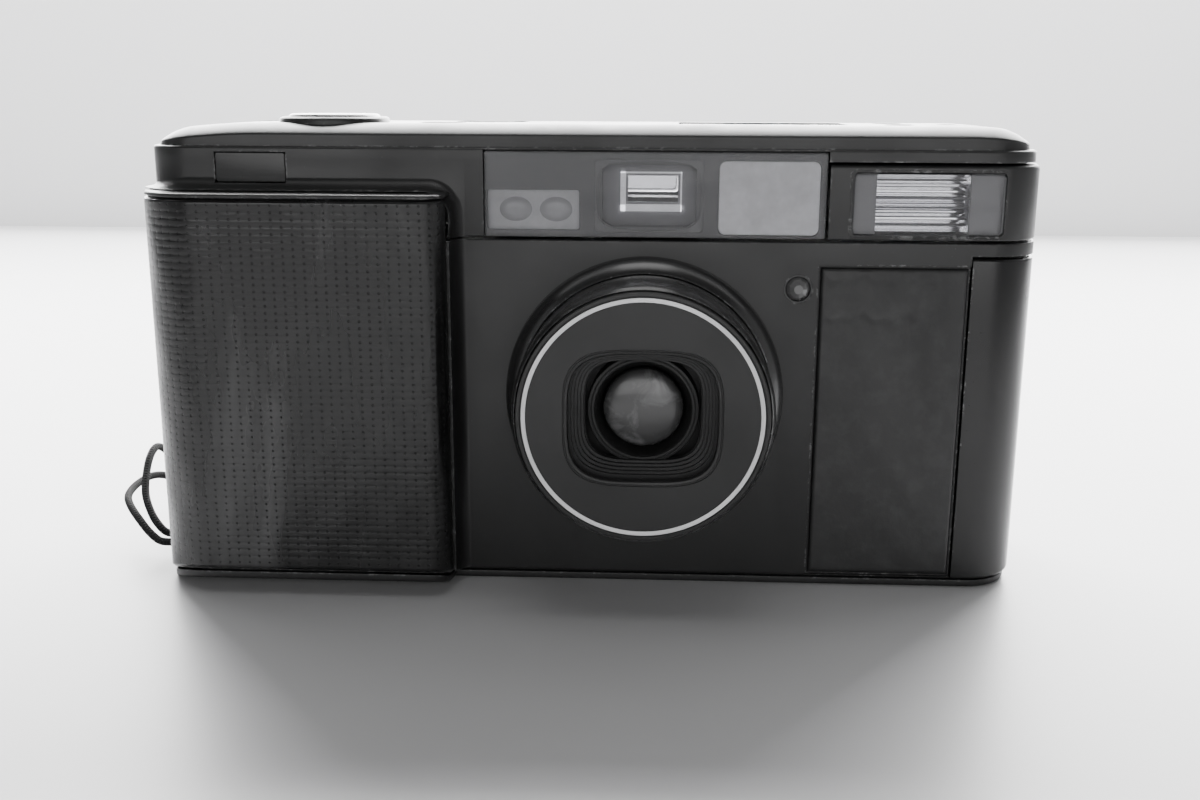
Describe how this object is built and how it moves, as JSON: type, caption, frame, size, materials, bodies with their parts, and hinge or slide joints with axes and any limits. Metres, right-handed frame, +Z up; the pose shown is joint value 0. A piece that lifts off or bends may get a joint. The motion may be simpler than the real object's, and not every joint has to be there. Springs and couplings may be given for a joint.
{
  "type": "compact autofocus film camera",
  "caption": "Black pocket 35 mm film camera with a rubber grip, a retracting wide lens behind sliding blades, a window strip, a built-in flash, a hinged film back and a wrist strap.",
  "frame": {"origin": "centre of the footprint of the camera, wrist strap left out, on the surface that it stands on", "axes": "+X to the viewer's right along the long side with the lens facing the viewer, +Y to the back, so the lens looks along -Y, +Z up"},
  "size_m": [0.1295, 0.089, 0.0621],
  "materials": {
    "black_paint": "satin black paint over die-cast metal, worn at the edges",
    "grip_rubber": "textured black rubber, slightly glossy",
    "black_plastic": "fine-grained black moulded plastic",
    "dark_acrylic": "polished smoke-tinted acrylic",
    "frosted_plastic": "translucent frosted pale grey",
    "optical_glass": "coated optical glass",
    "clear_plastic": "clear ribbed plastic window",
    "lamp_lens": "smoky clear lamp lens",
    "lcd_glass": "grey-green liquid crystal panel",
    "reflector": "vacuum-plated reflector",
    "flash_glass": "quartz discharge tube",
    "dark_steel": "blackened spring steel",
    "bright_steel": "satin stainless steel",
    "button_metal": "satin dark anodised",
    "bush_brass": "machined brass",
    "board": "green solder-resist laminate",
    "capacitor_sleeve": "shrink sleeve",
    "battery_sleeve": "plain printed-free sleeve",
    "cordage": "braided black nylon cord"
  },
  "bodies": {
    "camera_body": {"front_cover": "black_paint", "side_cover": "black_paint", "top_cover": "black_paint", "base_plate": "black_paint", "grip_rubber": "grip_rubber", "front_skin": "grip_rubber", "chassis": "black_plastic", "base_screw_1": "bright_steel", "base_screw_2": "bright_steel", "window_bar": "dark_acrylic", "af_module": "black_plastic", "finder_tunnel": "black_plastic", "finder_objective": "optical_glass", "finder_eyepiece": "optical_glass", "eyepiece_rim": "grip_rubber", "frame_illuminator": "frosted_plastic", "light_meter_window": "dark_acrylic", "timer_lamp": "lamp_lens", "flash_cover": "black_plastic", "flash_window": "clear_plastic", "flash_reflector": "reflector", "flash_tube": "flash_glass", "flash_capacitor": "capacitor_sleeve", "lens_collar": "black_paint", "lcd_panel": "lcd_glass", "circuit_board": "board", "door_hinge_pin": "bright_steel", "battery": "battery_sleeve", "tripod_bush": "bush_brass", "strap_lug": "bright_steel", "strap_strand_upper": "cordage", "strap_strand_outer": "cordage", "strap_ferrule": "black_plastic", "strap_hank": "cordage"},
    "lens_barrel": {"lens_barrel": "black_paint", "lens_front_plate": "black_plastic", "lens_baffle": "black_plastic"},
    "lens_group": {"lens_cell": "black_plastic", "front_element": "optical_glass", "rear_element": "optical_glass"},
    "blade_upper_main": {"barrier_blade_upper_main": "black_plastic"},
    "blade_upper_sub": {"barrier_blade_upper_sub": "black_plastic"},
    "blade_lower_main": {"barrier_blade_lower_main": "black_plastic"},
    "blade_lower_sub": {"barrier_blade_lower_sub": "black_plastic"},
    "leaf_left": {"shutter_leaf_left": "dark_steel"},
    "leaf_right": {"shutter_leaf_right": "dark_steel"},
    "release": {"shutter_button": "button_metal"},
    "power_key": {"power_button": "black_plastic"},
    "mode_key": {"mode_button": "black_plastic"},
    "timer_key": {"timer_button": "black_plastic"},
    "aperture_wheel": {"aperture_dial": "black_plastic"},
    "exposure_wheel": {"exposure_dial": "black_plastic"},
    "flash_slider": {"flash_switch": "black_plastic"},
    "film_door": {"back_door": "black_paint", "film_window": "dark_acrylic", "pressure_plate": "dark_steel"},
    "latch": {"door_latch": "black_plastic"},
    "spool": {"take_up_spool": "black_plastic"},
    "fork": {"rewind_fork": "black_plastic"},
    "cell_lid": {"battery_door": "black_plastic"}
  },
  "joints": [
    {"name": "lens_extension", "type": "slide", "parent": "camera_body", "child": "lens_barrel", "axis": [0, 1, 0], "range_m": [0, 0.009]},
    {"name": "focus_travel", "type": "slide", "parent": "lens_barrel", "child": "lens_group", "axis": [0, -1, 0], "range_m": [0, 0.002]},
    {"name": "barrier_upper_main", "type": "slide", "parent": "lens_barrel", "child": "blade_upper_main", "axis": [0, 0, -1], "range_m": [0, 0.00855]},
    {"name": "barrier_upper_sub", "type": "slide", "parent": "lens_barrel", "child": "blade_upper_sub", "axis": [0, 0, -1], "range_m": [0, 0.00428]},
    {"name": "barrier_lower_main", "type": "slide", "parent": "lens_barrel", "child": "blade_lower_main", "axis": [0, 0, 1], "range_m": [0, 0.00855]},
    {"name": "barrier_lower_sub", "type": "slide", "parent": "lens_barrel", "child": "blade_lower_sub", "axis": [0, 0, 1], "range_m": [0, 0.00428]},
    {"name": "shutter_leaf_left_turn", "type": "hinge", "parent": "lens_group", "child": "leaf_left", "pos_m": [0.00275, -0.00912, 0.01885], "axis": [0, -1, 0], "range_deg": [0, 45]},
    {"name": "shutter_leaf_right_turn", "type": "hinge", "parent": "lens_group", "child": "leaf_right", "pos_m": [0.01275, -0.00862, 0.01885], "axis": [0, 1, 0], "range_deg": [0, 45]},
    {"name": "release_press", "type": "slide", "parent": "camera_body", "child": "release", "axis": [0, 0, -1], "range_m": [0, 0.0006], "stiffness_N_per_m": 1200, "springref_m": -0.0004},
    {"name": "power_press", "type": "slide", "parent": "camera_body", "child": "power_key", "axis": [0, 0, -1], "range_m": [0, 0.0005], "stiffness_N_per_m": 1500, "springref_m": -0.0004},
    {"name": "mode_press", "type": "slide", "parent": "camera_body", "child": "mode_key", "axis": [0, 0, -1], "range_m": [0, 0.0004], "stiffness_N_per_m": 1500, "springref_m": -0.0004},
    {"name": "timer_press", "type": "slide", "parent": "camera_body", "child": "timer_key", "axis": [0, 0, -1], "range_m": [0, 0.0004], "stiffness_N_per_m": 1500, "springref_m": -0.0004},
    {"name": "aperture_turn", "type": "hinge", "parent": "camera_body", "child": "aperture_wheel", "pos_m": [-0.0478, 0.00955, 0.06], "axis": [0, 0, 1], "range_deg": [0, 210]},
    {"name": "exposure_turn", "type": "hinge", "parent": "camera_body", "child": "exposure_wheel", "pos_m": [-0.014, 0.01075, 0.06], "axis": [0, 0, 1], "range_deg": [-60, 60]},
    {"name": "flash_mode_slide", "type": "slide", "parent": "camera_body", "child": "flash_slider", "axis": [1, 0, 0], "range_m": [-0.0022, 0.0022]},
    {"name": "film_door_swing", "type": "hinge", "parent": "camera_body", "child": "film_door", "pos_m": [0.0562, 0.01745, 0.025], "axis": [0, 0, -1], "range_deg": [0, 110]},
    {"name": "door_latch_slide", "type": "slide", "parent": "camera_body", "child": "latch", "axis": [0, 0, -1], "range_m": [0, 0.0035], "stiffness_N_per_m": 250, "springref_m": -0.001},
    {"name": "take_up_turn", "type": "hinge", "parent": "camera_body", "child": "spool", "pos_m": [0.0452, 0.00555, 0.025], "axis": [0, 0, 1], "continuous": true},
    {"name": "rewind_turn", "type": "hinge", "parent": "camera_body", "child": "fork", "pos_m": [-0.0419, 0.00195, 0.048], "axis": [0, 0, 1], "continuous": true},
    {"name": "battery_door_swing", "type": "hinge", "parent": "camera_body", "child": "cell_lid", "pos_m": [-0.0286, 0.00375, 0.0003], "axis": [0, 1, 0], "range_deg": [0, 100]}
  ],
  "couplings": [
    {"joint": "barrier_upper_main", "follows": "lens_extension", "ratio": 0.95},
    {"joint": "barrier_upper_sub", "follows": "lens_extension", "ratio": 0.475},
    {"joint": "barrier_lower_main", "follows": "lens_extension", "ratio": 0.95},
    {"joint": "barrier_lower_sub", "follows": "lens_extension", "ratio": 0.475},
    {"joint": "shutter_leaf_right_turn", "follows": "shutter_leaf_left_turn", "ratio": 1}
  ]
}
